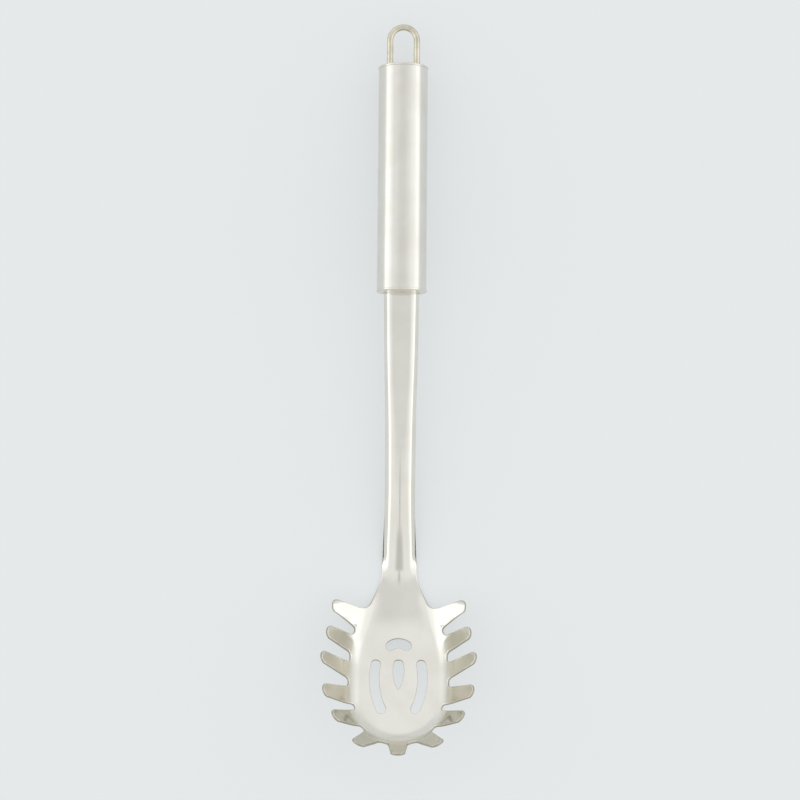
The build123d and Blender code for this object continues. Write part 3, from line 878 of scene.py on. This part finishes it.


# Polished sheet: satin inside the bowl, and duller on the cut edge, where a dark colour is a painted shade
# line; the tines past their roots get a painted shade
def makeSteel():
    material, tree, shader, patches, grain = makeMetal("pressedSteel", sheetFinish)
    nodes, links = tree.nodes, tree.links
    edge = nodes.new("ShaderNodeAttribute")
    edge.attribute_name = "cutEdge"
    bowl = nodes.new("ShaderNodeAttribute")
    bowl.attribute_name = "inBowl"
    # Painted shade: the cut edge's colour is darkened to a shade line
    colour = nodes.new("ShaderNodeMix")
    colour.data_type = "RGBA"
    colour.inputs["B"].default_value = (*sheetFinish["edge"], 1)
    # Painted shade: the tines past their roots are multiplied darker
    tine = nodes.new("ShaderNodeAttribute")
    tine.attribute_name = "tineShadeMask"
    paintedTineShade = nodes.new("ShaderNodeMix")
    paintedTineShade.data_type = "RGBA"
    paintedTineShade.blend_type = "MULTIPLY"
    paintedTineShade.inputs["B"].default_value = (*sheetFinish["tine"], 1)
    links.new(tine.outputs["Fac"], paintedTineShade.inputs["Factor"])
    links.new(patches.outputs["Colour"], paintedTineShade.inputs["A"])
    links.new(edge.outputs["Fac"], colour.inputs["Factor"])
    links.new(paintedTineShade.outputs["Result"], colour.inputs["A"])
    links.new(colour.outputs["Result"], shader.inputs["Base Color"])
    satin = nodes.new("ShaderNodeMath")
    satin.operation = "MULTIPLY_ADD"
    satin.inputs[1].default_value = sheetFinish["bowlDull"]
    links.new(bowl.outputs["Fac"], satin.inputs[0])
    links.new(grain.outputs["Roughness"], satin.inputs[2])
    dull = nodes.new("ShaderNodeMix")
    dull.inputs["B"].default_value = sheetFinish["edgeDull"]
    links.new(edge.outputs["Fac"], dull.inputs["Factor"])
    links.new(satin.outputs[0], dull.inputs["A"])
    links.new(dull.outputs["Result"], shader.inputs["Roughness"])
    return material


dress(pressedSheet, makeSteel())

tubeFinish = {
    "light": (0.775, 0.765, 0.715), "dark": (0.735, 0.72, 0.66),
    "cloudScale": 70, "smooth": 0.19, "dull": 0.23,
    "grainFine": (90, 2600, 90), "grainDepth": 0.05, "grainBump": 0.20,
}
dress(handleTube, makeMetal("brushedTube", tubeFinish)[0])

capFinish = {
    "light": (0.80, 0.785, 0.715), "dark": (0.72, 0.70, 0.62),
    "cloudScale": 160, "smooth": 0.15, "dull": 0.24,
    "grainFine": (1500, 1500, 1500), "grainDepth": 0.02, "grainBump": 0.08,
}
capLook = makeMetal("capMetal", capFinish)[0]
dress(lowerCap, capLook)
dress(upperCap, capLook)

wireFinish = {
    "light": (0.72, 0.68, 0.56), "dark": (0.58, 0.54, 0.43),
    "cloudScale": 260, "smooth": 0.14, "dull": 0.24,
    "grainFine": (1800, 350, 1800), "grainDepth": 0.03, "grainBump": 0.10,
}
dress(hangingLoop, makeMetal("loopWire", wireFinish)[0])

weldFinish = {
    "light": (0.36, 0.33, 0.28), "dark": (0.16, 0.14, 0.12),
    "cloudScale": 900, "smooth": 0.38, "dull": 0.62,
    "grainFine": (1400, 1400, 1400), "grainDepth": 0.12, "grainBump": 0.45,
}
weldLook = makeMetal("weldMetal", weldFinish)[0]
for node in ("stem_weld", "loop_weld"):
    for slot in bpy.data.objects[node].material_slots:
        slot.material = weldLook
print("finishes set")


# The floor, which keeps part of its own glow for the camera and in the metal
floorPaint = {
    "size": 3.0, "colour": (0.79, 0.817, 0.828), "roughness": 0.6,
    "glow": 0.56, "glowInMetal": 0.36, "glowColour": (0.80, 0.826, 0.838),
}


def makeFloor():
    bm = bmesh.new()
    bmesh.ops.create_grid(bm, x_segments=2, y_segments=2, size=floorPaint["size"] / 2)
    mesh = bpy.data.meshes.new("floor")
    bm.to_mesh(mesh)
    bm.free()
    floor = bpy.data.objects.new("floor", mesh)
    bpy.context.scene.collection.objects.link(floor)
    material = bpy.data.materials.new("floorPaint")
    material.use_nodes = True
    tree = material.node_tree
    shader = tree.nodes["Principled BSDF"]
    shader.inputs["Base Color"].default_value = (*floorPaint["colour"], 1)
    shader.inputs["Roughness"].default_value = floorPaint["roughness"]
    # The floor stays pale for the camera and in the metal, and the object's shadow lies on it softly
    glow = tree.nodes.new("ShaderNodeEmission")
    glow.inputs["Color"].default_value = (*floorPaint["glowColour"], 1)
    mix = tree.nodes.new("ShaderNodeMixShader")
    rays = tree.nodes.new("ShaderNodeLightPath")
    seen = tree.nodes.new("ShaderNodeMath")
    seen.operation = "MULTIPLY"
    seen.inputs[1].default_value = floorPaint["glow"]
    share = tree.nodes.new("ShaderNodeMath")
    share.operation = "MULTIPLY_ADD"
    share.inputs[1].default_value = floorPaint["glowInMetal"]
    tree.links.new(rays.outputs["Is Camera Ray"], seen.inputs[0])
    tree.links.new(rays.outputs["Is Glossy Ray"], share.inputs[0])
    tree.links.new(seen.outputs[0], share.inputs[2])
    tree.links.new(share.outputs[0], mix.inputs[0])
    tree.links.new(shader.outputs[0], mix.inputs[1])
    tree.links.new(glow.outputs[0], mix.inputs[2])
    tree.links.new(mix.outputs[0], tree.nodes["Material Output"].inputs["Surface"])
    floor.data.materials.append(material)


makeFloor()


# The light tent. A pair is where a soft edge starts and ends, by how far a way leans aside, ahead or up, and
# dims and shares are what the light comes to there
tent = {
    "strength": 0.96, "seenByCamera": 0.85, "zenith": 0.85, "zenithEdge": (0.60, 0.25),
    "boxLow": 1.50, "boxHigh": 1.13, "boxRise": (0.20, 0.65),
    "boxLeft": (0.64, 0.78), "boxRight": (0.50, 0.72), "boxRightShare": 0.85,
    "boxAft": (0.40, 0.62), "boxAftShare": 0.1,
    "boxFoot": (-0.06, 0.08), "boxFootAhead": 0.35, "boxAhead": (0.86, 0.70),
    "horizonDim": 0.65, "horizonEdge": (0.17, 0.06), "horizonAhead": (0.10, -0.20),
    "farDim": 0.80, "farRise": (0.22, 0.06), "farAhead": (0.75, 0.92),
    "lineDim": 0.66, "lineFrom": (0.28, 0.48), "lineTo": (0.62, 0.54), "lineHalf": (0.045, 0.0),
    "blotDim": 0.66, "blotFrom": (0.55, 0.63), "blotHalf": (0.19, 0.02), "blotRise": (0.3, 0.5),
}


# A pale tent with bright soft boxes at both sides, dimmer straight up and along the horizon
def makeTent():
    world = bpy.data.worlds.new("studio")
    world.use_nodes = True
    tree = world.node_tree
    nodes, links = tree.nodes, tree.links
    way = nodes.new("ShaderNodeSeparateXYZ")
    links.new(nodes.new("ShaderNodeTexCoord").outputs["Generated"], way.inputs[0])

    def reckon(kind, first, second=None):
        node = nodes.new("ShaderNodeMath")
        node.operation = kind
        for socket, value in zip(node.inputs, (first, second)):
            if isinstance(value, (int, float)):
                socket.default_value = value
            elif value is not None:
                links.new(value, socket)
        return node.outputs[0]

    def ramp(value, span, low=0.0, high=1.0):
        node = nodes.new("ShaderNodeMapRange")
        node.interpolation_type = "SMOOTHSTEP"
        links.new(value, node.inputs["Value"])
        for socket, number in zip(("From Min", "From Max", "To Min", "To Max"), (*span, low, high)):
            node.inputs[socket].default_value = number
        return node.outputs[0]

    across, ahead, up = (way.outputs[axis] for axis in "XYZ")
    side, front = reckon("ABSOLUTE", across), reckon("ABSOLUTE", ahead)
    back = reckon("MULTIPLY", ahead, -1.0)
    squares = [reckon("MULTIPLY", part, part) for part in (across, ahead)]
    lean = reckon("SQRT", reckon("ADD", *squares))
    left = ramp(reckon("MULTIPLY", across, -1.0), tent["boxLeft"])
    box = reckon("ADD", ramp(across, tent["boxRight"], 0.0, tent["boxRightShare"]), left)
    foot = reckon("SUBTRACT", up, reckon("MULTIPLY", reckon("MAXIMUM", ahead, 0.0), tent["boxFootAhead"]))
    for share in (ramp(foot, tent["boxFoot"]), ramp(front, tent["boxAhead"]),
                  ramp(back, tent["boxAft"], 1.0, tent["boxAftShare"])):
        box = reckon("MULTIPLY", box, share)
    low, high = (tent[end] - tent["strength"] for end in ("boxLow", "boxHigh"))
    boxLight = ramp(up, tent["boxRise"], low, high)
    light = reckon("ADD", reckon("MULTIPLY", box, boxLight), tent["strength"])
    light = reckon("MULTIPLY", light, ramp(lean, tent["zenithEdge"], 1.0, tent["zenith"]))
    level = ramp(reckon("ABSOLUTE", up), tent["horizonEdge"])
    rim = reckon("MULTIPLY", level, ramp(ahead, tent["horizonAhead"]))
    far = reckon("MULTIPLY", ramp(up, tent["farRise"]), ramp(ahead, tent["farAhead"]))
    # On the bowl's side of the tent, a dark seam that widens to a blot lower down
    line = reckon("MULTIPLY", ramp(back, tent["lineFrom"]), ramp(back, tent["lineTo"]))
    line = reckon("MULTIPLY", line, ramp(side, tent["lineHalf"]))
    blot = reckon("MULTIPLY", ramp(back, tent["blotFrom"]), ramp(side, tent["blotHalf"]))
    blot = reckon("MULTIPLY", blot, ramp(up, tent["blotRise"]))
    for shade, dim in ((rim, "horizonDim"), (far, "farDim"), (line, "lineDim"), (blot, "blotDim")):
        light = reckon("MULTIPLY", light, ramp(shade, (0.0, 1.0), 1.0, tent[dim]))
    plain = nodes.new("ShaderNodeMix")
    links.new(nodes.new("ShaderNodeLightPath").outputs["Is Camera Ray"], plain.inputs["Factor"])
    links.new(light, plain.inputs["A"])
    plain.inputs["B"].default_value = tent["seenByCamera"]
    links.new(plain.outputs["Result"], nodes["Background"].inputs["Strength"])
    nodes["Background"].inputs["Color"].default_value = (1, 1, 1, 1)
    bpy.context.scene.world = world


makeTent()
bpy.context.scene.view_settings.view_transform = "Standard"

# Straight down, as the photograph was taken: metres, degrees, and the lens in millimetres
view = {"x": -0.0003, "y": -0.0075, "height": 1.0726, "roll": 0.47, "lens": 106.2}
camera = bpy.data.objects.new("camera", bpy.data.cameras.new("camera"))
camera.data.lens = view["lens"]
camera.location = (view["x"], view["y"], view["height"])
camera.rotation_euler = (0, 0, math.radians(view["roll"]))
bpy.context.scene.collection.objects.link(camera)
bpy.context.scene.camera = camera
print("stage, light and camera set")
